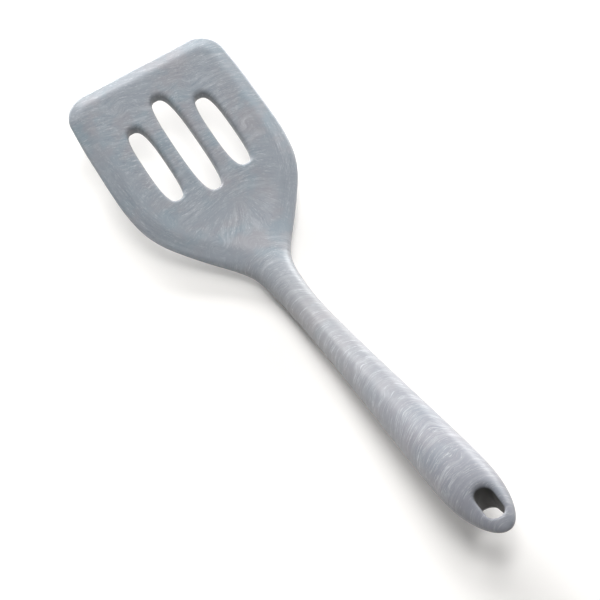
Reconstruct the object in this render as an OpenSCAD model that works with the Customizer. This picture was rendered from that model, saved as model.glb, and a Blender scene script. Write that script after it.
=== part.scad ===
// Slotted spatula: one soft silicone body moulded over a stiff nylon core.
// The blade points along +Y, the handle along -Y, and +X is across the blade.
// The spatula rests on the round heel of its bend, at Z = 0, with both ends raised.
// Places along the spatula are distances s from the blade's front edge, along the side line.

/* [Overall] */
// Length along the side line, from the blade's front edge to the handle's end
total_len = 212; // [202:1:222]
// Angle between the blade and the handle
bend_angle = 25; // [15:1:30]
// How far the blade's front is raised when the spatula balances on its heel
blade_tilt = 17; // [5:0.5:24]
// Where the bend starts
bend_from = 58; // [54:1:62]
// Length of the bend along the side line
bend_len = 50; // [44:1:54]

/* [Blade] */
// Width of the blade at its widest
blade_w = 55; // [52:0.5:58]
// Thickness of the flat part of the blade
blade_t = 4.8; // [4.4:0.1:5.4]
// Radius of the two front corners in plan
corner_r = 8; // [6:0.5:10]
// Width of the bevel that runs round the blade
bevel_w = 5.8; // [4.8:0.1:6.4]
// Depth of the narrow flat that closes the front edge
edge_land = 0.05; // [0.04:0.01:0.1]

/* [Slots] */
// Distance from the front edge to the middle of the middle slot
mid_slot_at = 31.4; // [30.4:0.2:32.4]
// Length of the middle slot
mid_slot_len = 37; // [35:0.2:38.4]
// Width of the middle slot
mid_slot_w = 7.2; // [6.4:0.1:7.8]
// Distance from the front edge to the middle of the outer slots
side_slot_at = 33.1; // [32.1:0.2:34.1]
// Length of the outer slots
side_slot_len = 28.2; // [26:0.2:30]
// Width of the outer slots
side_slot_w = 6.6; // [6:0.1:7.2]
// Distance from the middle slot to an outer slot, between their middles
slot_pitch = 11.6; // [11:0.1:12.2]
// How square the slots' ends are: 2 is an ellipse, and more is squarer
slot_power = 3; // [2.4:0.1:3.6]
// Radius of the round rims of the slots
slot_rim = 1.4; // [0.8:0.1:1.5]

/* [Handle] */
// Greatest thickness of the handle
handle_t = 13; // [12:0.2:14]
// Length of the rounded end
cap_len = 22; // [18:1:26]
// Width of the hanging hole
hang_w = 5.2; // [4.8:0.1:6]
// Length of the hanging hole, along the handle
hang_len = 9.6; // [9:0.2:10.4]
// Distance from the handle's end to the middle of the hanging hole
hang_from_end = 8.8; // [8.2:0.1:9.6]

/* [Core] */
// Thickness of the core's plate inside the blade
plate_t = 1.8; // [1.4:0.1:2.2]
// Silicone left round the plate's edge
plate_inset = 4; // [3.5:0.1:5]
// How far the plate runs on past the start of the bend, narrowing into the bar
plate_tongue = 16; // [8:1:17]
// Silicone left between a slot and the window round it in the plate
window_gap = 1.5; // [1.2:0.1:1.7]
// Thickness of the core's bar in the neck and the handle
bar_t = 3.2; // [2.8:0.1:3.4]
// Width of the bar in the neck
bar_neck_w = 5; // [4.4:0.1:5.4]
// Width of the bar at its far end
bar_end_w = 8; // [7:0.1:8.6]
// Distance from the handle's end to the end of the bar
bar_from_end = 21; // [19:0.5:24]
// Diameter of the holes that the silicone flows through to lock the core
lock_d = 3; // [2.6:0.1:3.2]
// Number of locking holes along the bar
lock_count = 5; // [3:1:6]
// Number of locking holes along each side of the plate
side_lock_count = 3; // [2:1:4]

/* [Hidden] */

// How far a cutting shape runs past the faces that it cuts
overrun = 3;
// Steps round a slot's outline, and round a full circle
slot_steps = 56;
$fn = 40;

blade_half = blade_w / 2;
handle_tilt = blade_tilt - bend_angle;
// Where the front edge lies, and where its two corners have become the sides
front_at = 0.3;
corner_to = front_at + corner_r;
bend_to = bend_from + bend_len;
bend_r = bend_len / (bend_angle * PI / 180);
hang_at = total_len - hang_from_end;
plate_end = bend_from + plate_tongue;
bar_end = total_len - bar_from_end;

// Half width of the outline as a share of blade_half, by distance as a share of total_len
width_shares = [
    [0.00, 0.955], [0.04, 0.970], [0.08, 0.989], [0.12, 0.996], [0.16, 1.000], [0.20, 0.992],
    [0.24, 0.944], [0.27, 0.850], [0.30, 0.700], [0.33, 0.530], [0.36, 0.350], [0.38, 0.252],
    [0.40, 0.204], [0.43, 0.178], [0.47, 0.163], [0.51, 0.163], [0.55, 0.172], [0.60, 0.184],
    [0.70, 0.218], [0.80, 0.256], [0.87, 0.278], [0.92, 0.283], [1.00, 0.280]
];

// Half thickness as a share of handle_t / 2, from the neck on
thick_shares = [
    [0.43, 0.655], [0.50, 0.665], [0.56, 0.700], [0.66, 0.810], [0.76, 0.930], [0.84, 1.000],
    [0.89, 0.970], [0.93, 0.850], [0.96, 0.700], [1.00, 0.580]
];

// Where the plain blade starts to thicken, and where it has become the neck
thicken_from_share = 0.26;
thicken_to_share = 0.43;
thicken_from = thicken_from_share * total_len;
thicken_to = thicken_to_share * total_len;

function mix(a, b, t) = a + (b - a) * t;
function ramp(a, b, x) = min(max((x - a) / (b - a), 0), 1);
function ease(t) = t * t * (3 - 2 * t);

// Smooth curve through the points of a table
function span(table, x, i = 0) =
    i >= len(table) - 2 || x < table[i + 1][0] ? i : span(table, x, i + 1);
function slope(table, i) =
    let (a = table[max(i - 1, 0)], b = table[min(i + 1, len(table) - 1)])
    (b[1] - a[1]) / (b[0] - a[0]);
function curve(table, x) =
    let (
        i = span(table, x),
        step = table[i + 1][0] - table[i][0],
        u = (x - table[i][0]) / step,
        rise = table[i + 1][1] - table[i][1],
        from_slope = slope(table, i) * step,
        to_slope = slope(table, i + 1) * step
    )
    table[i][1] + u * from_slope
        + u * u * (3 * rise - 2 * from_slope - to_slope)
        + u * u * u * (from_slope + to_slope - 2 * rise);

// Tilt of the side line: positive where it falls away from the front edge
function tilt(s) = blade_tilt - bend_angle * ramp(bend_from, bend_to, s);

// Side line as [y, z]: straight, an arc of bend_r, and straight again
function turn(s) = min(max(s, bend_from), bend_to);
function along(s, angle) = [-s * cos(angle), -s * sin(angle)];
function side_line(s) =
    along(min(s, bend_from), blade_tilt)
    + bend_r * [sin(tilt(turn(s))) - sin(blade_tilt), cos(blade_tilt) - cos(tilt(turn(s)))]
    + along(max(s - bend_to, 0), handle_tilt);

// The rounded end draws both the width and the thickness in as an ellipse does
function cap(s) = let (u = ramp(total_len - cap_len, total_len, s)) sqrt(1 - u * u);

// Half width: a round corner at the front, then the outline's curve
function side_half(s) = blade_half * curve(width_shares, s / total_len) * cap(s);
function corner_cut(s, r) = let (d = max(r - s, 0)) r - sqrt(r * r - d * d);
function half_width(s) = side_half(s) - corner_cut(s - front_at, corner_r);

function half_thick(s) =
    let (neck = handle_t / 2 * curve(thick_shares, max(s, thicken_to) / total_len))
    mix(blade_t / 2, neck, ease(ramp(thicken_from, thicken_to, s))) * cap(s);

// How far the outline runs in per step along the blade, for a bevel of even width
slope_step_share = 0.0025;
slope_step = slope_step_share * total_len;
function run_in(s) = (side_half(s + slope_step) - side_half(s - slope_step)) / (2 * slope_step);

// From the blade's flat top with a bevel to the handle's round section
function roundness(s) = ease(ramp(bend_from, thicken_to, s));
function even_inset(inset, s) = inset * sqrt(1 + pow(run_in(s), 2));

// Share of the half width that is rounded, over the top and under the bottom, which is flatter
top_round_share = 0.92;
under_round_share = 0.66;
function edge_w(s, round_share) =
    let (w = side_half(s) * round_share)
    mix(min(even_inset(bevel_w, s), w), w, roundness(s));

// Height over the mid plane at a depth of u bevel widths inside the outline, from 0 to 1.
// On the blade it is a rounded edge, a plane bevel and a soft crease, and on the handle an ellipse.
edge_height_share = 0.3;
edge_round_share = 0.13;
crease_share = 0.2;
function crease(v) =
    v < 2 * crease_share ? v * v / (4 * crease_share) : v - crease_share;
function blade_rise(u) =
    let (edge = 1 - min(u / edge_round_share, 1))
    sqrt(1 - edge * edge)
        * (1 - (1 - edge_height_share) * crease(1 - u) / (1 - crease_share));
function handle_rise(u) = sqrt(u * (2 - u));
function rise(u, s) =
    let (v = min(max(u, 0), 1))
    mix(blade_rise(v), handle_rise(v), roundness(s));

// Depth inside the outline in bevel widths, at x across and s along
function depth(x, s, round_share) =
    let (
        in_x = side_half(s) - corner_r,
        side_u = (half_width(s) - abs(x)) / edge_w(s, round_share),
        corner_u = (corner_r - norm([abs(x) - in_x, corner_to - s])) / bevel_w
    )
    s < corner_to && abs(x) > in_x ? corner_u : min(side_u, (s - front_at) / bevel_w);

// Places across a section: steps over the rounded edge, then the flat
edge_steps = 8;
flat_steps = 3;
function half_row(s, round_share) =
    let (w = half_width(s), e = min(edge_w(s, round_share), w * round_share))
    concat(
        [for (k = [1:edge_steps]) w - e * (1 - cos(90 * k / edge_steps))],
        [for (k = [1:flat_steps]) (w - e) * (1 - k / flat_steps)]
    );
function mirrored(row) = [for (k = [len(row) - 2:-1:0]) -row[k]];
function across(s, round_share) = let (row = half_row(s, round_share)) concat(row, mirrored(row));

// Places of the sections: close at the front edge, the bend and the rounded end
front_steps = 9;
blade_steps = 8;
neck_steps = 24;
grip_steps = 16;
cap_steps = 14;
neck_from_share = 0.2;
grip_from_share = 0.56;
cap_end_share = 0.966;
neck_from = neck_from_share * total_len;
grip_from = grip_from_share * total_len;
cap_from = total_len - cap_len;
stations = concat(
    [for (k = [0:front_steps]) corner_to - (corner_r - edge_land) * cos(90 * k / front_steps)],
    [for (k = [1:blade_steps]) mix(corner_to, neck_from, k / blade_steps)],
    [for (k = [1:neck_steps]) mix(neck_from, grip_from, k / neck_steps)],
    [for (k = [1:grip_steps]) mix(grip_from, cap_from, k / grip_steps)],
    [for (k = [1:cap_steps]) cap_from + cap_len * sin(90 * cap_end_share * k / cap_steps)]
);

// One section as points [x, y, z]: over the top from right to left, then back under
function off_line(x, height, s) =
    let (mid = side_line(s), a = tilt(s))
    [x, mid[0] - height * sin(a), mid[1] + height * cos(a)];
function height_at(x, s, round_share) = half_thick(s) * rise(depth(x, s, round_share), s);
function section(s) =
    let (
        w = half_width(s),
        top = across(s, top_round_share),
        under = across(s, under_round_share)
    )
    concat(
        [off_line(w, 0, s)],
        [for (x = top) off_line(x, height_at(x, s, top_round_share), s)],
        [off_line(-w, 0, s)],
        [for (k = [len(under) - 1:-1:0]) off_line(under[k], -height_at(under[k], s, under_round_share), s)]
    );

// The frame's origin is under the middle of the spatula's length, at the heel's lowest point
heel_z = min([for (s = stations) side_line(s)[1] - half_thick(s) * cos(tilt(s))]);
middle_y = (side_line(front_at + edge_land)[0] + side_line(total_len)[0]) / 2;

module at_origin() {
    translate([0, -middle_y, -heel_z])
        children();
}

// The blade's own plane: Y = -s along it, and Z up from its mid plane
module on_blade() {
    at_origin()
        rotate([blade_tilt, 0, 0])
            children();
}

// The handle's own plane, from the end of the bend
module on_handle() {
    place = side_line(bend_to);
    at_origin()
        translate([0, place[0], place[1]])
            rotate([handle_tilt, 0, 0])
                children();
}

// Solid through closed sections that all have the same number of points
module loft(sections) {
    ring = len(sections[0]);
    last = len(sections) - 1;
    sides = [
        for (j = [0:last - 1], k = [0:ring - 1])
            let (a = j * ring + k, b = j * ring + (k + 1) % ring)
            each [[a, b + ring, b], [a, a + ring, b + ring]]
    ];
    first_face = [for (k = [0:ring - 1]) k];
    last_face = [for (k = [ring - 1:-1:0]) last * ring + k];
    polyhedron(
        points = [for (one = sections) each one],
        faces = concat([first_face], sides, [last_face]),
        convexity = 6
    );
}

module outer_shape() {
    at_origin()
        loft([for (s = stations) section(s)]);
}

function power_of(v, p) = sign(v) * pow(abs(v), p);

// Outline of a slot as points at height z, grown all round by grow
function slot_ring(length, width, grow, z) = [
    for (k = [0:slot_steps - 1])
        let (a = 360 * k / slot_steps)
        [
            (width / 2 + grow) * power_of(cos(a), 2 / slot_power),
            (length / 2 + grow) * power_of(sin(a), 2 / slot_power),
            z
        ]
];

// Windows in the core's plate, wider all round than the slots
module window_outline(length, width) {
    polygon([for (p = slot_ring(length, width, window_gap, 0)) [p[0], p[1]]]);
}
module windows() {
    translate([0, -mid_slot_at])
        window_outline(mid_slot_len, mid_slot_w);
    for (side = [-1, 1])
        translate([side * slot_pitch, -side_slot_at])
            window_outline(side_slot_len, side_slot_w);
}

// Round rim of a slot as [grow, z] from its straight wall up, on past the blade's face
rim_steps = 2;
rim_past = 0.3;
function rim_place(k) =
    let (a = 90 * k / rim_steps)
    [slot_rim * (1 - cos(a)), blade_t / 2 - slot_rim * (1 - sin(a))];
rim_last = rim_place(rim_steps) - rim_place(rim_steps - 1);
rim_places = concat(
    [for (k = [0:rim_steps - 1]) rim_place(k)],
    [rim_place(rim_steps) + rim_last * rim_past / rim_last[1]]
);

// Cutter of one slot: straight in the middle, with a round rim over each face
module slot_cut(length, width) {
    loft(concat(
        [for (k = [rim_steps:-1:0]) slot_ring(length, width, rim_places[k][0], -rim_places[k][1])],
        [for (place = rim_places) slot_ring(length, width, place[0], place[1])]
    ));
}

module slots() {
    on_blade() {
        translate([0, -mid_slot_at, 0])
            slot_cut(mid_slot_len, mid_slot_w);
        for (side = [-1, 1])
            translate([side * slot_pitch, -side_slot_at, 0])
                slot_cut(side_slot_len, side_slot_w);
    }
}

// Hanging hole: two round ends and the straight walls between them
module hang_hole() {
    reach = hang_len - hang_w;
    deep = handle_t + 2 * overrun;
    on_handle()
        translate([0, bend_to - hang_at, 0]) {
            for (end = [-1, 1])
                translate([0, end * reach / 2, 0])
                    cylinder(h = deep, d = hang_w, center = true);
            cube([hang_w, reach, deep], center = true);
        }
}

// Plan of the core's plate: the blade's outline drawn in, with a tongue that narrows into the bar
corner_steps = 6;
plate_steps = 14;
function plate_half(s) =
    side_half(s) - even_inset(plate_inset, s)
    - corner_cut(s - front_at - plate_inset, corner_r - plate_inset);
module plate_outline() {
    places = concat(
        [for (k = [0:corner_steps]) corner_to - (corner_r - plate_inset) * cos(90 * k / corner_steps)],
        [for (k = [1:plate_steps]) mix(corner_to, plate_end, k / plate_steps)]
    );
    last = len(places) - 1;
    polygon(concat(
        [for (k = [0:last]) [plate_half(places[k]), -places[k]]],
        [for (k = [last:-1:0]) [-plate_half(places[k]), -places[k]]]
    ));
}

// Holes down the middle of the strips beside the outer slots' windows
side_lock_share = 0.45;
module side_locks() {
    window_x = slot_pitch + side_slot_w / 2 + window_gap;
    step = side_slot_len / (side_lock_count - 1);
    for (side = [-1, 1], k = [0:side_lock_count - 1]) {
        s = side_slot_at - side_slot_len / 2 + step * k;
        translate([side * (plate_half(s) + window_x) / 2, -s])
            circle(d = (plate_half(s) - window_x) * side_lock_share);
    }
}

module core_plate() {
    on_blade()
        translate([0, 0, -plate_t / 2])
            linear_extrude(plate_t)
                difference() {
                    plate_outline();
                    windows();
                    side_locks();
                }
}

// The bar starts on the plate, follows the bend and widens down the handle to its round end
bar_from = mid_slot_at + mid_slot_len / 2 + lock_d;
bar_round_from = bar_end - bar_end_w / 2;
bar_steps = 24;
bar_end_steps = 8;
bar_stations = concat(
    [for (k = [0:bar_steps]) mix(bar_from, bar_round_from, k / bar_steps)],
    [for (k = [1:bar_end_steps]) mix(bar_round_from, bar_end, sin(90 * cap_end_share * k / bar_end_steps))]
);
function bar_half(s) =
    let (u = ramp(bar_round_from, bar_end, s))
    mix(bar_neck_w, bar_end_w, ramp(bend_to, bar_round_from, s)) / 2 * sqrt(1 - u * u);
function bar_section(s) = [
    off_line(bar_half(s), bar_t / 2, s), off_line(-bar_half(s), bar_t / 2, s),
    off_line(-bar_half(s), -bar_t / 2, s), off_line(bar_half(s), -bar_t / 2, s)
];

first_lock_share = 0.3;
module core_bar() {
    difference() {
        at_origin()
            loft([for (s = bar_stations) bar_section(s)]);
        on_handle()
            for (k = [1:lock_count])
                translate([0, -(bar_round_from - bend_to) * mix(first_lock_share, 1, k / lock_count), 0])
                    cylinder(h = bar_t + 2 * overrun, d = lock_d, center = true);
    }
}

module core() {
    color("#d9d6cc") {
        core_plate();
        core_bar();
    }
}

module silicone_body() {
    color("#9aa3ab")
        difference() {
            outer_shape();
            slots();
            hang_hole();
            core();
        }
}

silicone_body();
core();
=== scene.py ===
import math

import bmesh
import bpy
import numpy as np
from mathutils import Matrix, Vector, noise
from mathutils.geometry import delaunay_2d_cdt


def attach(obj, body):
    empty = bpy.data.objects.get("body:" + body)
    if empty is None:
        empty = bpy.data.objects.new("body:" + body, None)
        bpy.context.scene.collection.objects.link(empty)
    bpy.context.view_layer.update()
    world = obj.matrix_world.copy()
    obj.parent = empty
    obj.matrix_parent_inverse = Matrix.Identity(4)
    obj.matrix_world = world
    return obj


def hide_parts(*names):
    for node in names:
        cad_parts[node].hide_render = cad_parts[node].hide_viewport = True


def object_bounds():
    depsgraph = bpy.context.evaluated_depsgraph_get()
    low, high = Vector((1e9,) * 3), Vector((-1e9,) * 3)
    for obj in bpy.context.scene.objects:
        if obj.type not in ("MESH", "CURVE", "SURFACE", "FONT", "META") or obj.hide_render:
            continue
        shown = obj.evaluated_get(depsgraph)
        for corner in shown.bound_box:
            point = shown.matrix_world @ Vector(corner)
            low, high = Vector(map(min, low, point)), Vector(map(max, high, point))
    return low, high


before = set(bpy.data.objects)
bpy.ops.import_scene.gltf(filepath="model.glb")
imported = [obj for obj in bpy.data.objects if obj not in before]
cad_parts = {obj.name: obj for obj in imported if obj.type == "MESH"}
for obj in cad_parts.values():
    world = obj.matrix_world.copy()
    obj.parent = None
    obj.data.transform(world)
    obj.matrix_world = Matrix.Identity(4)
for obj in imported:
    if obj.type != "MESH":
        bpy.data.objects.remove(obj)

# Slotted spatula: the silicone body is drawn again as one fine smooth skin, with round rims,
# a parting line and marbled silicone. The stiff core stays the CAD solid.
# The form follows the construction: places along it are distances s from the front edge,
# x is across, and heights are taken square to the side line. Lengths are in millimetres
# until a point is made.

cad_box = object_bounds()

MM = 0.001

# Form, as in the construction
# Side line: straight along the blade, an arc, and straight again along the handle
TOTAL_LEN = 212.0
BEND_ANGLE = math.radians(25)
BLADE_TILT = math.radians(17)
BEND_FROM = 58.0
BEND_LEN = 50.0
BEND_TO = BEND_FROM + BEND_LEN
BEND_R = BEND_LEN / BEND_ANGLE
HANDLE_TILT = BLADE_TILT - BEND_ANGLE

# Blade: half width, thickness, radius of the front corners, width of the bevel, and its front edge
BLADE_HALF = 27.5
BLADE_T = 4.8
CORNER_R = 8.0
BEVEL_W = 5.8
FRONT_AT = 0.3
EDGE_LAND = 0.05
CORNER_TO = FRONT_AT + CORNER_R

# Slots: middle across, middle along, width and length, how blunt they are, and their rim's radius
SLOTS = [(0.0, 31.4, 7.2, 37.0), (-11.6, 33.1, 6.6, 28.2), (11.6, 33.1, 6.6, 28.2)]
SLOT_POWER = 3.0
SLOT_RIM = 1.4

# Handle: thickness, length of its round end, and how far round the rows go before the tip closes it
HANDLE_T = 13.0
CAP_LEN = 22.0
CAP_END_SHARE = 0.966

# Hanging hole: width, length, and its middle along
HANG_W = 5.2
HANG_LEN = 9.6
HANG_AT = TOTAL_LEN - 8.8

# Half width as a share of BLADE_HALF, by distance as a share of TOTAL_LEN
WIDTH_SHARES = [
    (0.00, 0.955), (0.04, 0.970), (0.08, 0.989), (0.12, 0.996), (0.16, 1.000), (0.20, 0.992),
    (0.24, 0.944), (0.27, 0.850), (0.30, 0.700), (0.33, 0.530), (0.36, 0.350), (0.38, 0.252),
    (0.40, 0.204), (0.43, 0.178), (0.47, 0.163), (0.51, 0.163), (0.55, 0.172), (0.60, 0.184),
    (0.70, 0.218), (0.80, 0.256), (0.87, 0.278), (0.92, 0.283), (1.00, 0.280),
]

# Half thickness as a share of HANDLE_T / 2, from the neck on
THICK_SHARES = [
    (0.43, 0.655), (0.50, 0.665), (0.56, 0.700), (0.66, 0.810), (0.76, 0.930), (0.84, 1.000),
    (0.89, 0.970), (0.93, 0.850), (0.96, 0.700), (1.00, 0.580),
]
# Where the blade's thickness turns into the neck's
THICKEN_FROM = 0.26 * TOTAL_LEN
THICKEN_TO = 0.43 * TOTAL_LEN

# Section: the rounded part's share of the half width on top and underneath, and on the blade the
# height of the edge, the width of its rounding and the softness of the bevel's crease, as shares
TOP_ROUND = 0.92
UNDER_ROUND = 0.66
EDGE_HEIGHT_SHARE = 0.3
EDGE_ROUND_SHARE = 0.13
CREASE_SHARE = 0.2

# Step for the slope of the outline, and samples in the search for the lowest point
SLOPE_STEP = 0.0025 * TOTAL_LEN
HEEL_SAMPLES = 400


def mix(a, b, t):
    return a + (b - a) * t


def ramp(a, b, x):
    """0 at a, 1 at b, straight between them and held outside."""
    return min(max((x - a) / (b - a), 0.0), 1.0)


def ease(t):
    """Smooth start and end for a ramp."""
    return t * t * (3 - 2 * t)


def curve(table, x):
    """Smooth curve through the points of a table, at x."""
    last = len(table) - 1
    i = 0
    while i < last - 1 and x >= table[i + 1][0]:
        i += 1

    def slope(k):
        a, b = table[max(k - 1, 0)], table[min(k + 1, last)]
        return (b[1] - a[1]) / (b[0] - a[0])

    step = table[i + 1][0] - table[i][0]
    u = (x - table[i][0]) / step
    rise_by = table[i + 1][1] - table[i][1]
    m0, m1 = slope(i) * step, slope(i + 1) * step
    return (table[i][1] + u * m0 + u * u * (3 * rise_by - 2 * m0 - m1)
            + u ** 3 * (m0 + m1 - 2 * rise_by))


def tilt(s):
    """Slope of the side line."""
    return BLADE_TILT - BEND_ANGLE * ramp(BEND_FROM, BEND_TO, s)


def side_line(s):
    """Point (y, z) of the side line: straight, an arc, and straight again."""
    flat, grip = min(s, BEND_FROM), max(s - BEND_TO, 0.0)
    a = tilt(min(max(s, BEND_FROM), BEND_TO))
    y = (-flat * math.cos(BLADE_TILT) + BEND_R * (math.sin(a) - math.sin(BLADE_TILT))
         - grip * math.cos(HANDLE_TILT))
    z = (-flat * math.sin(BLADE_TILT) + BEND_R * (math.cos(BLADE_TILT) - math.cos(a))
         - grip * math.sin(HANDLE_TILT))
    return y, z


def cap(s):
    """Share of the width and the thickness that the round end leaves."""
    u = ramp(TOTAL_LEN - CAP_LEN, TOTAL_LEN, s)
    return math.sqrt(1 - u * u)


def side_half(s):
    """Half width before the front corners are rounded."""
    return BLADE_HALF * curve(WIDTH_SHARES, s / TOTAL_LEN) * cap(s)


def half_width(s):
    """Half width of the outline."""
    d = max(CORNER_TO - s, 0.0)
    return side_half(s) - (CORNER_R - math.sqrt(CORNER_R ** 2 - d * d))


def half_thick(s):
    """Half thickness of the middle."""
    neck = HANDLE_T / 2 * curve(THICK_SHARES, max(s, THICKEN_TO) / TOTAL_LEN)
    return mix(BLADE_T / 2, neck, ease(ramp(THICKEN_FROM, THICKEN_TO, s))) * cap(s)


def roundness(s):
    """0 on the flat blade, 1 on the round handle."""
    return ease(ramp(BEND_FROM, THICKEN_TO, s))


def edge_width(s, share):
    """Width of the rounded edge: an even bevel on the blade, most of the handle."""
    w = side_half(s) * share
    run_in = (side_half(s + SLOPE_STEP) - side_half(s - SLOPE_STEP)) / (2 * SLOPE_STEP)
    return mix(min(BEVEL_W * math.hypot(1, run_in), w), w, roundness(s))


def rise(u, s):
    """Height from 0 to 1, at u edge widths inside the outline.

    On the blade it is a rounded edge, a plane bevel and a soft crease, and on the handle an ellipse.
    """
    u = np.clip(u, 0, 1)
    edge = 1 - np.minimum(u / EDGE_ROUND_SHARE, 1)
    out = 1 - u
    crease = np.where(out < 2 * CREASE_SHARE, out * out / (4 * CREASE_SHARE), out - CREASE_SHARE)
    blade = np.sqrt(1 - edge * edge) * (1 - (1 - EDGE_HEIGHT_SHARE) * crease / (1 - CREASE_SHARE))
    return mix(blade, np.sqrt(u * (2 - u)), roundness(s))


def heights(x, s, share):
    """Heights over the mid plane at places x across."""
    x = np.abs(np.asarray(x, float))
    u = np.minimum((half_width(s) - x) / edge_width(s, share), (s - FRONT_AT) / BEVEL_W)
    if s < CORNER_TO:
        in_x = side_half(s) - CORNER_R
        corner = (CORNER_R - np.hypot(x - in_x, CORNER_TO - s)) / BEVEL_W
        u = np.where(x > in_x, corner, u)
    return half_thick(s) * rise(u, s)


# Where the side line's frame has the resting surface and the middle of the length
HEEL_Z = min(side_line(s)[1] - half_thick(s) * math.cos(tilt(s))
             for s in np.linspace(BEND_FROM, TOTAL_LEN - CAP_LEN, HEEL_SAMPLES))
MIDDLE_Y = (side_line(FRONT_AT + EDGE_LAND)[0] + side_line(TOTAL_LEN)[0]) / 2


def place(x, s, height):
    """Point in metres at x across, s along and a height over the mid plane."""
    y, z = side_line(s)
    a = tilt(s)
    return Vector((x, y - height * math.sin(a) - MIDDLE_Y, z + height * math.cos(a) - HEEL_Z)) * MM


# Skin of the silicone body
# Rows across, half of them on each side of the middle: closer together over the bevel, and closest
# over the rounded edge
HALF_ROWS = 38
BEVEL_CLOSER = 1.7
ROUND_CLOSER = 3.4
ROUND_CLOSER_TO = 1.6 * EDGE_ROUND_SHARE
ACROSS_SAMPLES = 241

# Parting line: half its width, its height, and where it rises and ends
RIDGE_HALF = 0.2
RIDGE_UP = 0.09
RIDGE_FROM = 62.0
RIDGE_FULL = 84.0
RIDGE_LESS = 196.0
RIDGE_TO = 207.0

# Stations along it: round the front corners, over the blade, over bend and handle, round the end
CORNER_STEPS = 20
BLADE_STEPS = 66
BLADE_STEPS_TO = 60.0
HANDLE_STEPS = 150
CAP_STEPS = 34
STATIONS = (
    [CORNER_TO - CORNER_R * math.cos(math.pi / 2 * k / CORNER_STEPS) for k in range(CORNER_STEPS + 1)]
    + [mix(CORNER_TO, BLADE_STEPS_TO, k / BLADE_STEPS) for k in range(1, BLADE_STEPS + 1)]
    + [mix(BLADE_STEPS_TO, TOTAL_LEN - CAP_LEN, k / HANDLE_STEPS) for k in range(1, HANDLE_STEPS + 1)]
    + [TOTAL_LEN - CAP_LEN + CAP_LEN * math.sin(math.pi / 2 * CAP_END_SHARE * k / CAP_STEPS)
       for k in range(1, CAP_STEPS + 1)]
)

# Openings: the hanging hole's rim, spacing round the rings, steps over a rim and down a wall,
# least distance from a ring to a point of the grid, and how far a patch reaches past its rings
HANG_RIM = 1.4
RING_STEP = 0.62
HANG_STEP = 0.8 * RING_STEP
SLOT_SAMPLES = 4000
HANG_SAMPLES = 720
RIM_STEPS = 5
WALL_STEPS = 3
CLEAR = 0.45
PATCH_REACH = 0.4
SAME_PLACE = 1e-6


def row_places(s, share):
    """Places x across one half, from the outline to the middle."""
    w = half_width(s)
    x = w * np.cos(np.linspace(0, math.pi / 2, ACROSS_SAMPLES))
    h = heights(x, s, share)
    step = np.hypot(np.diff(x), np.diff(h))
    inside_by = (w - x[1:]) / edge_width(s, share)
    closer = np.where(inside_by < 1, BEVEL_CLOSER, 1.0)
    closer = np.where(inside_by < ROUND_CLOSER_TO, ROUND_CLOSER, closer)
    run = np.concatenate([[0], np.cumsum(step * mix(closer, 1, roundness(s)))])
    ridge = min(RIDGE_HALF * mix(ROUND_CLOSER, 1, roundness(s)), run[-1] / HALF_ROWS)
    wanted = np.concatenate([[0], np.linspace(ridge, run[-1], HALF_ROWS)])
    return np.interp(wanted, run, x)


def full_row(s, share):
    """Places across a whole row, and their heights over the mid plane."""
    half = row_places(s, share)
    x = np.concatenate([half, -half[-2::-1]])
    return x, heights(x, s, share)


def ridge_up(s):
    """Height of the parting line, along the neck and the handle."""
    return RIDGE_UP * ease(ramp(RIDGE_FROM, RIDGE_FULL, s)) * (1 - ease(ramp(RIDGE_LESS, RIDGE_TO, s)))


def even_loop(points, step):
    """Closed loop through the points, spaced evenly."""
    p = np.vstack([points, points[:1]])
    run = np.concatenate([[0], np.cumsum(np.hypot(*np.diff(p, axis=0).T))])
    count = int(round(run[-1] / step))
    at = np.arange(count) * run[-1] / count
    return np.column_stack([np.interp(at, run, p[:, 0]), np.interp(at, run, p[:, 1])])


def grown(loop, by):
    """The loop moved outwards, square to itself."""
    along = np.roll(loop, -1, axis=0) - np.roll(loop, 1, axis=0)
    along /= np.hypot(*along.T)[:, None]
    return loop + by * np.column_stack([along[:, 1], -along[:, 0]])


def slot_loop(mid_x, mid_s, width, length):
    """Outline of a slot, a blunt oval."""
    a = np.linspace(0, 2 * math.pi, SLOT_SAMPLES, endpoint=False)

    def power(v):
        return np.sign(v) * np.abs(v) ** (2 / SLOT_POWER)

    x = mid_x + width / 2 * power(np.cos(a))
    s = mid_s + length / 2 * power(np.sin(a))
    return even_loop(np.column_stack([x, s]), RING_STEP)


def hang_loop():
    """Outline of the hanging hole, straight sides with round ends."""
    a = np.linspace(0, 2 * math.pi, HANG_SAMPLES, endpoint=False)
    shift = np.where(np.sin(a) >= 0, 1, -1) * (HANG_LEN - HANG_W) / 2
    x = HANG_W / 2 * np.cos(a)
    s = HANG_AT + shift + HANG_W / 2 * np.sin(a)
    return even_loop(np.column_stack([x, s]), HANG_STEP)


def inside(points, loop):
    """Which points are inside a closed loop."""
    x, y = points[:, 0][:, None], points[:, 1][:, None]
    ax, ay = loop[:, 0], loop[:, 1]
    bx, by = np.roll(ax, -1), np.roll(ay, -1)
    crosses = (ay > y) != (by > y)
    with np.errstate(divide="ignore", invalid="ignore"):
        at = ax + (y - ay) * (bx - ax) / (by - ay)
    return (crosses & (x < at)).sum(axis=1) % 2 == 1


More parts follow.
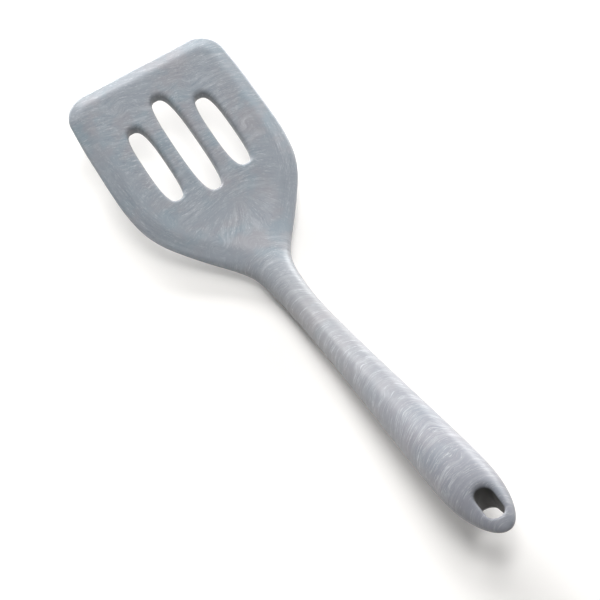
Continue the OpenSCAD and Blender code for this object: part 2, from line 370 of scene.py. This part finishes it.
class Skin:
    """Vertices of the skin, with the plan place and the depth of each, and its faces."""

    def __init__(self):
        self.points, self.plan, self.depths, self.faces = [], [], [], []

    def add(self, x, s, height, depth=0.0):
        """Adds a vertex. Depth is 0 on the outer skin and grows over a rim to 1 on the wall."""
        self.points.append(place(x, s, height))
        self.plan.append((x, s, height))
        self.depths.append(depth)
        return len(self.points) - 1

    def band(self, a, b):
        """Adds the faces between two closed rings."""
        n = len(a)
        self.faces += [[a[k], a[(k + 1) % n], b[(k + 1) % n], b[k]] for k in range(n)]

    def flat(self, ids):
        """Plan places x and s of these vertices."""
        return np.array([self.plan[i][:2] for i in ids])


def grid_rows(skin):
    """Rows of vertices over the top and under the bottom, which share the outline."""
    tops, unders = [], []
    for s in STATIONS:
        x, h = full_row(s, TOP_ROUND)
        last = len(x) - 1
        out = ridge_up(s)
        top = [skin.add(x[0] + out, s, 0.0)]
        top += [skin.add(x[k], s, h[k]) for k in range(1, last)]
        top.append(skin.add(x[last] - out, s, 0.0))
        under = list(top)
        if s != STATIONS[0]:
            x, h = full_row(s, UNDER_ROUND)
            under[1:last] = [skin.add(x[k], s, -h[k]) for k in range(1, last)]
        tops.append(top)
        unders.append(under)
    return tops, unders


def patch_block(loops, tops, skin, reach):
    """Block of grid cells, as ranges of stations and rows, that clears the loops by reach."""
    around = np.vstack(loops)
    low, high = around[:, 1].min() - reach, around[:, 1].max() + reach
    j0 = max(j for j, s in enumerate(STATIONS) if s < low)
    j1 = min(j for j, s in enumerate(STATIONS) if s > high)
    wanted = []
    for j in range(j0, j1 + 1):
        near = around[(around[:, 1] > STATIONS[j - 1]) & (around[:, 1] < STATIONS[j + 1])]
        wanted.append((j, near[:, 0].max() + reach if len(near) else reach))
    k0 = max(k for k in range(HALF_ROWS) if all(skin.plan[tops[j][k]][0] > x for j, x in wanted))
    return (j0, j1), (k0, 2 * HALF_ROWS - k0)


def fill_patch(skin, rows, block, cols, rings):
    """Triangles between a block's border and the outer rings, through the grid points between."""
    j0, j1 = block
    k0, k1 = cols
    border = ([rows[j0][k] for k in range(k0, k1)] + [rows[j][k1] for j in range(j0, j1)]
              + [rows[j1][k] for k in range(k1, k0, -1)] + [rows[j][k0] for j in range(j1, j0, -1)])
    inner = [rows[j][k] for j in range(j0 + 1, j1) for k in range(k0 + 1, k1)]
    plan = skin.flat(inner)
    outlines = [skin.flat(ring) for ring in rings]
    keep = np.ones(len(inner), bool)
    for outline in outlines:
        near = np.array([np.hypot(*(outline - p).T).min() < CLEAR for p in plan])
        keep &= ~near & ~inside(plan, outline)
    used = border + [i for i, k in zip(inner, keep) if k]
    edges = [(k, (k + 1) % len(border)) for k in range(len(border))]
    for ring in rings:
        first = len(used)
        used += ring
        edges += [(first + k, first + (k + 1) % len(ring)) for k in range(len(ring))]
    flat = [Vector(p) for p in skin.flat(used)]
    _, _, tris, origin, _, _ = delaunay_2d_cdt(flat, edges, [], 0, SAME_PLACE)
    found = [[used[origin[v][0]] for v in tri] for tri in tris]
    middles = np.array([skin.flat(ids).mean(axis=0) for ids in found])
    good = inside(middles, skin.flat(border))
    for outline in outlines:
        good &= ~inside(middles, outline)
    skin.faces += [ids for ids, g in zip(found, good) if g]


def opening(skin, loop, rim):
    """Round rims and walls of one opening. Returns the outer ring of the top and of the underside."""
    outer = {}
    inner = {}
    for side, share in ((1, TOP_ROUND), (-1, UNDER_ROUND)):
        rings = []
        for k in range(RIM_STEPS + 1):
            angle = math.pi / 2 * k / RIM_STEPS
            out = grown(loop, rim * (1 - math.cos(angle)))
            drop = rim * (1 - math.sin(angle))
            rings.append([skin.add(x, s, side * (float(heights(x, s, share)) - drop), drop / rim)
                          for x, s in out])
        for a, b in zip(rings, rings[1:]):
            skin.band(a, b)
        inner[side], outer[side] = rings[0], rings[-1]
    levels = [inner[1]]
    for level in range(1, WALL_STEPS):
        t = level / WALL_STEPS
        levels.append([skin.add(x, s, mix(skin.plan[top][2], skin.plan[under][2], t), 1.0)
                       for (x, s), top, under in zip(loop, inner[1], inner[-1])])
    levels.append(inner[-1])
    for a, b in zip(levels, levels[1:]):
        skin.band(a, b)
    return outer


def skin_mesh():
    """The whole skin: a grid of rows, patches round the openings, and a closed tip."""
    skin = Skin()
    tops, unders = grid_rows(skin)
    slot_loops = [slot_loop(*one) for one in SLOTS]
    blocked = set()
    for loops, rim in ((slot_loops, SLOT_RIM), ([hang_loop()], HANG_RIM)):
        block, cols = patch_block([grown(loop, rim) for loop in loops], tops, skin, PATCH_REACH)
        rims = [opening(skin, loop, rim) for loop in loops]
        for side, rows in ((1, tops), (-1, unders)):
            fill_patch(skin, rows, block, cols, [r[side] for r in rims])
        blocked |= {(j, k) for j in range(*block) for k in range(*cols)}
    for rows in (tops, unders):
        for j in range(len(rows) - 1):
            for k in range(2 * HALF_ROWS):
                if (j, k) not in blocked:
                    skin.faces.append([rows[j][k], rows[j][k + 1], rows[j + 1][k + 1], rows[j + 1][k]])
    tip = skin.add(0, STATIONS[-1], 0)
    ring = tops[-1] + unders[-1][-2:0:-1]
    skin.faces += [[ring[k], ring[(k + 1) % len(ring)], tip] for k in range(len(ring))]
    return skin


# Marbling: where the streaks run
# The silicone was pressed in from the handle. Most streaks lie across its way, as arcs that bulge
# towards the blade's front; along the blade's sides they follow the outline, and behind the slots
# they also fan out. Each kind has its own coordinates: across the streaks, along them, and height.
# Arcs: how they bend and how they lean, by distance as a share of TOTAL_LEN
ARC_BEND = [
    (0.00, -0.002), (0.14, 0.000), (0.25, 0.016), (0.33, 0.030), (0.42, 0.030), (0.52, 0.020),
    (0.70, 0.080), (0.78, 0.120), (0.84, 0.050), (0.88, 0.010), (1.00, 0.030),
]
ARC_SKEW = [
    (0.00, 0.16), (0.10, 0.16), (0.22, 0.00), (0.36, 0.05), (0.46, 0.28), (0.60, 0.10), (1.00, 0.02),
]
# On the handle the streaks are longer: where that starts and is full, and the share of the blade's
# frequency along them that is left
HANDLE_FLOW = (70, 110)
HANDLE_STREAKS = 0.46
# Along the sides: nought and full by distance from the outline, start on the right and on the left
# side, fade, and how much they slant
SIDE_REACH = (9.5, 4.0)
SIDE_START_RIGHT = (30, 48)
SIDE_START_LEFT = (14, 30)
SIDE_FADE = (66, 78)
SIDE_SLANT = 0.05
# Fan: its middle, its width to a radian, start, fade, and how far the sides' streaks push it back
FAN_AT = (4.5, 51.5)
FAN_SCALE = 12.0
FAN_START = (54, 61)
FAN_FADE = (68, 78)
FAN_PUSHED_BACK = 0.6
# Small eddies: middle across, middle along, radius, turn in radians
EDDIES = [
    (-1.6, 72.7, 2.4, 4.2), (-10.0, 68.0, 2.2, -2.6), (7.5, 70.5, 2.0, 1.8), (-18.5, 52.0, 3.0, 1.2),
    (-1.5, 153.0, 2.6, 0.9), (1.0, 122.0, 2.4, -0.9), (2.0, 187.0, 2.6, 0.8), (18.0, 36.0, 2.6, 1.7),
    (-12.0, 11.0, 4.0, 1.1), (9.0, 15.0, 3.2, -1.2), (-3.0, 138.0, 2.2, 0.8), (3.0, 172.0, 2.6, -0.8),
]
EDDY_REACH = 3.0
# Slow bends of every streak: reach in mm, and how far; the shift keeps the two directions apart
WARPS = [(24.0, 2.2), (9.0, 0.70), (3.6, 0.20)]
WARP_SHIFT = Vector((31.7, 0, 0))


def warped(x, s, height):
    """Plan place after the eddies and the slow bends."""
    for mid_x, mid_s, radius, turn in EDDIES:
        dx, ds = x - mid_x, s - mid_s
        far = (dx * dx + ds * ds) / radius ** 2
        if far < EDDY_REACH ** 2:
            a = turn * math.exp(-far)
            x = mid_x + dx * math.cos(a) - ds * math.sin(a)
            s = mid_s + dx * math.sin(a) + ds * math.cos(a)
    x0, s0 = x, s
    for reach, far in WARPS:
        at = Vector((x0 / reach, s0 / reach, height / reach + reach))
        x += far * noise.noise(at)
        s += far * noise.noise(at + WARP_SHIFT)
    return x, s


def flow(x, s, height):
    """Coordinates of the three kinds of streak, and the shares of sides, fan and handle."""
    out_by = half_width(s) - abs(x)
    x, s = warped(x, s, height)
    share = ramp(0, TOTAL_LEN, s)
    handle = ease(ramp(*HANDLE_FLOW, s))
    longer = mix(1.0, HANDLE_STREAKS, handle)
    arcs = (s - curve(ARC_BEND, share) * x * x - curve(ARC_SKEW, share) * x, x * longer, height * longer)
    sides = (out_by + SIDE_SLANT * (x - s), s, height)
    fan_x, fan_s = x - FAN_AT[0], s - FAN_AT[1]
    fan = (math.atan2(fan_x, fan_s) * FAN_SCALE, math.hypot(fan_x, fan_s), height)
    start = SIDE_START_RIGHT if x > 0 else SIDE_START_LEFT
    side_share = ease(ramp(*SIDE_REACH, out_by)) * ramp(*start, s) * (1 - ease(ramp(*SIDE_FADE, s)))
    fan_share = ease(ramp(*FAN_START, s)) * (1 - ease(ramp(*FAN_FADE, s)))
    fan_share *= 1 - FAN_PUSHED_BACK * side_share
    return arcs, sides, fan, (side_share, fan_share, handle)


def store(mesh, name, kind, field, values):
    """Stores a value for each vertex, for the material."""
    data = mesh.attributes.new(name, kind, "POINT").data
    data.foreach_set(field, np.array(values, np.float32).ravel())


def store_flows(mesh, plan):
    """The coordinates of each kind of streak, and the shares."""
    rows = [flow(*one) for one in plan]
    for k, name in enumerate(("streaks_arcs", "streaks_sides", "streaks_fan", "streaks_shares")):
        store(mesh, name, "FLOAT_VECTOR", "vector", [row[k] for row in rows])


def store_places(mesh, skin):
    """How deep in the hanging hole, and how far towards the end, each from 0 to 1."""
    deep = [depth if one[1] > HANG_AT - HANG_LEN else 0.0 for depth, one in zip(skin.depths, skin.plan)]
    store(mesh, "hole_depth", "FLOAT", "value", deep)
    store(mesh, "toward_end", "FLOAT", "value", [one[1] / TOTAL_LEN for one in skin.plan])


def make_skin():
    """The skin as one closed object."""
    skin = skin_mesh()
    mesh = bpy.data.meshes.new("silicone_skin")
    # The last digits of a point must not take it past the CAD model's box
    points = np.clip(np.array(skin.points), *np.array(cad_box))
    mesh.from_pydata(points.tolist(), [], skin.faces)
    mesh.update()
    store_flows(mesh, skin.plan)
    store_places(mesh, skin)
    bm = bmesh.new()
    bm.from_mesh(mesh)
    bmesh.ops.delete(bm, geom=[v for v in bm.verts if not v.link_faces], context="VERTS")
    bmesh.ops.recalc_face_normals(bm, faces=bm.faces)
    bm.to_mesh(mesh)
    bm.free()
    mesh.shade_smooth()
    obj = bpy.data.objects.new("silicone_skin", mesh)
    bpy.context.collection.objects.link(obj)
    return obj


# Materials
class Graph:
    """Short forms for building the nodes of a material or of the world."""

    def __init__(self, owner, shader="Principled BSDF"):
        owner.use_nodes = True
        self.tree = owner.node_tree
        self.shader = self.tree.nodes[shader]

    def node(self, kind, **settings):
        made = self.tree.nodes.new("ShaderNode" + kind)
        for key, value in settings.items():
            setattr(made, key, value)
        return made

    def put(self, socket, value):
        """Links a socket, or sets it to a plain value."""
        if isinstance(value, bpy.types.NodeSocket):
            self.tree.links.new(value, socket)
        else:
            socket.default_value = value

    def surface(self, name, value):
        """Links or sets one of the shader's own sockets."""
        self.put(self.shader.inputs[name], value)

    def math(self, operation, a, b=0.0):
        made = self.node("Math", operation=operation)
        self.put(made.inputs[0], a)
        self.put(made.inputs[1], b)
        return made.outputs[0]

    def scaled(self, vector, scale, shift=(0, 0, 0)):
        made = self.node("VectorMath", operation="MULTIPLY_ADD")
        self.put(made.inputs[0], vector)
        made.inputs[1].default_value = scale
        made.inputs[2].default_value = shift
        return made.outputs[0]

    def noise(self, vector, scale=1.0, detail=2.0, rough=0.5):
        made = self.node("TexNoise")
        self.put(made.inputs["Vector"], vector)
        made.inputs["Scale"].default_value = scale
        made.inputs["Detail"].default_value = detail
        made.inputs["Roughness"].default_value = rough
        return made.outputs["Fac"]

    def between(self, value, low, high, to_low=0.0, to_high=1.0):
        """Turns a range of values smoothly into another."""
        made = self.node("MapRange", interpolation_type="SMOOTHSTEP")
        for k, v in enumerate((value, low, high, to_low, to_high)):
            self.put(made.inputs[k], v)
        return made.outputs[0]

    def mix(self, share, a, b):
        """Mix of two numbers."""
        made = self.node("Mix", data_type="FLOAT")
        self.put(made.inputs[0], share)
        self.put(made.inputs[2], a)
        self.put(made.inputs[3], b)
        return made.outputs[0]

    def mix_colour(self, share, a, b):
        made = self.node("Mix", data_type="RGBA")
        self.put(made.inputs[0], share)
        self.put(made.inputs[6], a)
        self.put(made.inputs[7], b)
        return made.outputs[2]

    def attribute(self, name, output="Vector"):
        return self.node("Attribute", attribute_name=name).outputs[output]

    def bump(self, height, strength, distance):
        made = self.node("Bump")
        made.inputs["Strength"].default_value = strength
        made.inputs["Distance"].default_value = distance
        self.put(made.inputs["Height"], height)
        self.surface("Normal", made.outputs[0])


# Silicone: the blade's greys, and their two slow changes: scales, a shift that keeps them apart, and
# the values of the noise that they run between
GREY = (0.300, 0.331, 0.372, 1)
GREY_WARM = (0.328, 0.331, 0.360, 1)
GREY_COOL = (0.274, 0.332, 0.378, 1)
CLOUD_SCALE = 75.0
TINT_SCALE = 130.0
TINT_SHIFT = (0.3, 0.1, 0.7)
CLOUD_MIX = (0.35, 0.65)
TINT_MIX = (0.36, 0.64)
# The handle's own greys with painted light and shade: lighter at the neck and darker towards its end,
# their share, and from where to where they change
GREY_NECK_PAINTED_LIGHT = (0.336, 0.324, 0.330, 1)
GREY_END_PAINTED_SHADE = (0.226, 0.220, 0.252, 1)
HANDLE_SHARE = 0.6
HANDLE_SHADE_CHANGE = (0.42, 0.86)
# The pale and the deep of the streaks, and painted shade on the hanging hole's wall: a near-black
# colour, with the depths over which it darkens
PALE = (0.645, 0.665, 0.692, 1)
DEEP = (0.190, 0.214, 0.246, 1)
HOLE_WALL_PAINTED_SHADE = (0.012, 0.011, 0.010, 1)
HOLE_SHADE_DEPTHS = (0.35, 1.0)

# Streaks: frequency in each direction, across them, along them and in height
THREADS = (2.2, 0.28, 0.34)
FEATHERS = (3.4, 1.1, 1.3)
THREADS_SHARE = 0.62
BANDS = (0.60, 0.085, 0.14)
# Hairs: frequencies and width of each kind, and where they are left out
HAIRS = (((0.90, 0.11, 0.1), 0.014), ((1.35, 0.17, 0.1), 0.021))
HAIR_GAPS = (0.27, 0.19, 0.1)
HAIR_GAPS_FROM = (0.50, 0.66)
# Each kind of flow, and what shifts its noise
FLOWS = (("arcs", 11.0), ("sides", 47.0), ("fan", 83.0))
# Values of the noise where a streak starts and is full, and for the bands its shares there
FINE_PALE = (0.515, 0.71)
FINE_DEEP = (0.475, 0.28)
BAND_PALE = (0.50, 0.80, 0.0, 0.32)
BAND_DEEP = (0.50, 0.20, 0.0, 0.30)
# Strength of the streaks on the blade against the handle's, its fade at the end, and the hairs'
BLADE_STRENGTH = 0.80
END_FADE = (0.86, 0.96, 1.0, 0.45)
HAIR_STRENGTH = 0.60

# Its surface: a fine grain with the roughness that it gives, a soft gloss and sheen, and the bump's
# strength and height in metres
GRAIN_SCALE = 5200.0
GRAIN_ROUGH = (0.3, 0.7, 0.43, 0.52)
SILICONE_SPECULAR = 0.35
SHEEN = 0.25
SHEEN_ROUGH = 0.5
SILICONE_BUMP = (0.35, 0.00004)
GRAIN_IN_BUMP = 0.5


def streaks(g, vector, seed):
    """Fine streaks, broad streaks and sparse hairs along one kind of flow, as three numbers.

    The shifts only keep the noises apart.
    """
    threads = g.noise(g.scaled(vector, THREADS, (seed, 0, 0)), detail=4, rough=0.72)
    feathers = g.noise(g.scaled(vector, FEATHERS, (0, seed, 0)), detail=3, rough=0.7)
    fine = g.mix(THREADS_SHARE, feathers, threads)
    broad = g.noise(g.scaled(vector, BANDS, (0, seed, 0)), detail=4, rough=0.6)
    hairs = []
    for k, (frequency, width) in enumerate(HAIRS):
        line = g.noise(g.scaled(vector, frequency, (seed + 5.3 * k, 7.1 * k, 0)), detail=3, rough=0.55)
        off = g.math("ABSOLUTE", g.math("SUBTRACT", line, 0.5))
        hair = g.between(off, 0.0, width, 1.0, 0.0)
        mask = g.noise(g.scaled(vector, HAIR_GAPS, (3.7 * k, seed, 2.9)), detail=3)
        hairs.append(g.math("MULTIPLY", hair, g.between(mask, *HAIR_GAPS_FROM)))
    return fine, broad, g.math("MAXIMUM", *hairs)


def marbled_silicone():
    """Grey silicone with streaks that follow the flow of the moulding, with painted shade in the hanging
    hole and painted light and shade along the handle.
    """
    made = bpy.data.materials.new("marbled_silicone")
    g = Graph(made)
    shares = g.node("SeparateXYZ")
    g.put(shares.inputs[0], g.attribute("streaks_shares"))
    side_share, fan_share, handle_share = shares.outputs
    kinds = [streaks(g, g.attribute("streaks_" + kind), seed) for kind, seed in FLOWS]
    fine, broad, hair = [g.mix(fan_share, g.mix(side_share, arcs, sides), fan)
                         for arcs, sides, fan in zip(*kinds)]
    where = g.node("TexCoord").outputs["Object"]
    cloud = g.noise(where, scale=CLOUD_SCALE, detail=3)
    tint = g.noise(g.scaled(where, (1, 1, 1), TINT_SHIFT), scale=TINT_SCALE, detail=3)
    grain = g.noise(where, scale=GRAIN_SCALE, detail=2)
    toward_end = g.attribute("toward_end", "Fac")

    base = g.mix_colour(g.between(tint, *TINT_MIX), GREY_COOL, GREY_WARM)
    base = g.mix_colour(g.between(cloud, *CLOUD_MIX), base, GREY)
    # Painted light and shade along the handle: lighter at the neck, darker towards the end
    handle = g.mix_colour(g.between(toward_end, *HANDLE_SHADE_CHANGE), GREY_NECK_PAINTED_LIGHT, GREY_END_PAINTED_SHADE)
    base = g.mix_colour(g.math("MULTIPLY", handle_share, HANDLE_SHARE), base, handle)

    strong = g.between(handle_share, 0.0, 1.0, BLADE_STRENGTH, 1.0)
    strong = g.math("MULTIPLY", strong, g.between(toward_end, *END_FADE))
    pale = g.math("MULTIPLY", g.between(fine, *FINE_PALE), strong)
    deep = g.math("MULTIPLY", g.between(fine, *FINE_DEEP), strong)
    base = g.mix_colour(deep, base, DEEP)
    base = g.mix_colour(pale, base, PALE)
    base = g.mix_colour(g.between(broad, *BAND_PALE), base, PALE)
    base = g.mix_colour(g.between(broad, *BAND_DEEP), base, DEEP)
    base = g.mix_colour(g.math("MULTIPLY", hair, g.math("MULTIPLY", strong, HAIR_STRENGTH)), base, PALE)
    # Painted shade: the hanging hole's wall turns near black with depth
    base = g.mix_colour(g.between(g.attribute("hole_depth", "Fac"), *HOLE_SHADE_DEPTHS), base, HOLE_WALL_PAINTED_SHADE)

    g.surface("Base Color", base)
    g.surface("Roughness", g.between(grain, *GRAIN_ROUGH))
    g.surface("Specular IOR Level", SILICONE_SPECULAR)
    g.surface("Sheen Weight", SHEEN)
    g.surface("Sheen Roughness", SHEEN_ROUGH)
    g.bump(g.mix(GRAIN_IN_BUMP, fine, grain), *SILICONE_BUMP)
    return made


# Nylon: its two tones, and the short pale fibres with their frequency and how they show
NYLON = (0.640, 0.615, 0.545, 1)
NYLON_PALE = (0.700, 0.675, 0.600, 1)
NYLON_CLOUD_SCALE = 60.0
FIBRE = (0.84, 0.83, 0.79, 1)
FIBRES = (2600, 420, 2600)
FIBRES_SHOW = (0.58, 0.74, 0.0, 0.5)
NYLON_ROUGH = (0.3, 0.7, 0.50, 0.64)
NYLON_BUMP = (0.3, 0.00003)


def glass_filled_nylon():
    """Natural nylon of the hidden core, with short pale fibres."""
    made = bpy.data.materials.new("glass_filled_nylon")
    g = Graph(made)
    where = g.node("TexCoord").outputs["Object"]
    fibre = g.noise(g.scaled(where, FIBRES), detail=2)
    cloud = g.noise(where, scale=NYLON_CLOUD_SCALE, detail=2)
    base = g.mix_colour(g.between(cloud, *CLOUD_MIX), NYLON, NYLON_PALE)
    base = g.mix_colour(g.between(fibre, *FIBRES_SHOW), base, FIBRE)
    g.surface("Base Color", base)
    g.surface("Roughness", g.between(fibre, *NYLON_ROUGH))
    g.bump(fibre, *NYLON_BUMP)
    return made


# Stage, camera and light
# Angles are in degrees: azimuth from +Y towards +X, and elevation
CAMERA_AT = (-0.148466, -0.433343, 0.526220)
CAMERA_AZIMUTH = 198.5538
CAMERA_ELEVATION = 48.1571
CAMERA_ROLL = -15.1583
CAMERA_LENS = 146.436
CAMERA_SENSOR = 36.0


def direction(azimuth, elevation):
    """Unit vector from the middle outwards."""
    a, e = math.radians(azimuth), math.radians(elevation)
    return Vector((math.sin(a) * math.cos(e), math.cos(a) * math.cos(e), math.sin(e)))


def make_camera():
    """The photo's camera. It looks against its direction, and its roll turns it about that."""
    data = bpy.data.cameras.new("camera")
    data.lens = CAMERA_LENS
    data.sensor_width = CAMERA_SENSOR
    back = direction(CAMERA_AZIMUTH, CAMERA_ELEVATION)
    level = Vector((-back.y, back.x, 0)).normalized()
    roll = math.radians(CAMERA_ROLL)
    right = level * math.cos(roll) + back.cross(level) * math.sin(roll)
    turn = Matrix((right, back.cross(right), back)).transposed()
    camera = bpy.data.objects.new("camera", data)
    camera.matrix_world = Matrix.Translation(CAMERA_AT) @ turn.to_4x4()
    bpy.context.collection.objects.link(camera)
    bpy.context.scene.camera = camera


WHITE = (1, 1, 1, 1)
# Colour of the paper as it lights the object, and as the camera and mirror-like rays see it
FLOOR_DIM = (0.430, 0.400, 0.365, 1)
FLOOR_SEEN = (0.955, 0.938, 0.915, 1)
FLOOR_ROUGH = 0.9
# Glow of the paper for those rays near the object, and the distances from the middle, in metres,
# over which it fades to plain white
FLOOR_GLOW = 0.08
FLOOR_FADE = (0.30, 1.10)
FLOOR_REACH = 4.0


def seen_directly(g):
    """1 for rays of the camera, of mirror-like reflections and through clear matter."""
    rays = g.node("LightPath")
    through = g.math("MAXIMUM", rays.outputs["Is Glossy Ray"], rays.outputs["Is Transmission Ray"])
    return g.math("MAXIMUM", rays.outputs["Is Camera Ray"], through)


def white_floor():
    """White paper. The camera and mirror-like rays see it brighter, so that it closes to plain white."""
    made = bpy.data.materials.new("white_paper")
    g = Graph(made)
    seen = seen_directly(g)
    away = g.node("VectorMath", operation="LENGTH")
    g.put(away.inputs[0], g.node("TexCoord").outputs["Object"])
    glow = g.between(away.outputs["Value"], *FLOOR_FADE, FLOOR_GLOW, 1.0)
    g.surface("Base Color", g.mix_colour(seen, FLOOR_DIM, FLOOR_SEEN))
    g.surface("Emission Color", WHITE)
    g.surface("Emission Strength", g.math("MULTIPLY", seen, glow))
    g.surface("Roughness", FLOOR_ROUGH)
    g.surface("Specular IOR Level", 0.0)
    return made


def make_floor():
    """A plain floor, wide enough to fill every view."""
    r = FLOOR_REACH
    mesh = bpy.data.meshes.new("floor")
    mesh.from_pydata([(-r, -r, 0), (r, -r, 0), (r, r, 0), (-r, r, 0)], [], [(0, 1, 2, 3)])
    mesh.materials.append(white_floor())
    floor = bpy.data.objects.new("floor", mesh)
    bpy.context.collection.objects.link(floor)


# Soft round lamps, as in a white studio lit from behind the blade: distance and size in metres, and
# for each its azimuth, its elevation and its power in watts. The low ones reach below the floor,
# which hides that part.
LAMP_FAR = 1.5
LAMP_SIZE = 0.6
LAMPS = {
    "overhead_right": (90, 72, 3.4),
    "overhead_front": (180, 72, 8.6),
    "high_back": (30, 42, 5.8),
    "upper_back": (0, 28, 11.0),
    "low_back": (0, 5, 27.5),
    "low_right": (60, 5, 24.5),
    "low_left": (270, 5, 5.0),
}
WORLD_LIGHT = 0.04


def make_lamp(name, azimuth, elevation, power):
    """A lamp that faces the middle."""
    away = direction(azimuth, elevation)
    data = bpy.data.lights.new(name, "AREA")
    data.shape = "DISK"
    data.size = LAMP_SIZE
    data.energy = power
    lamp = bpy.data.objects.new(name, data)
    lamp.location = LAMP_FAR * away
    lamp.rotation_euler = (-away).to_track_quat("-Z", "Y").to_euler()
    bpy.context.collection.objects.link(lamp)


def make_world():
    """A white room, which lights the object a little."""
    world = bpy.data.worlds.new("studio")
    g = Graph(world, "Background")
    g.surface("Color", WHITE)
    g.surface("Strength", g.mix(seen_directly(g), WORLD_LIGHT, 1.0))
    bpy.context.scene.world = world


skin = make_skin()
skin.data.materials.append(marbled_silicone())
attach(skin, "root")
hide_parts("silicone_body")

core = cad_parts["core"]
core.data.materials.clear()
core.data.materials.append(glass_filled_nylon())

make_camera()
make_floor()
for name, lamp in LAMPS.items():
    make_lamp(name, *lamp)
make_world()
bpy.context.scene.view_settings.view_transform = "Standard"
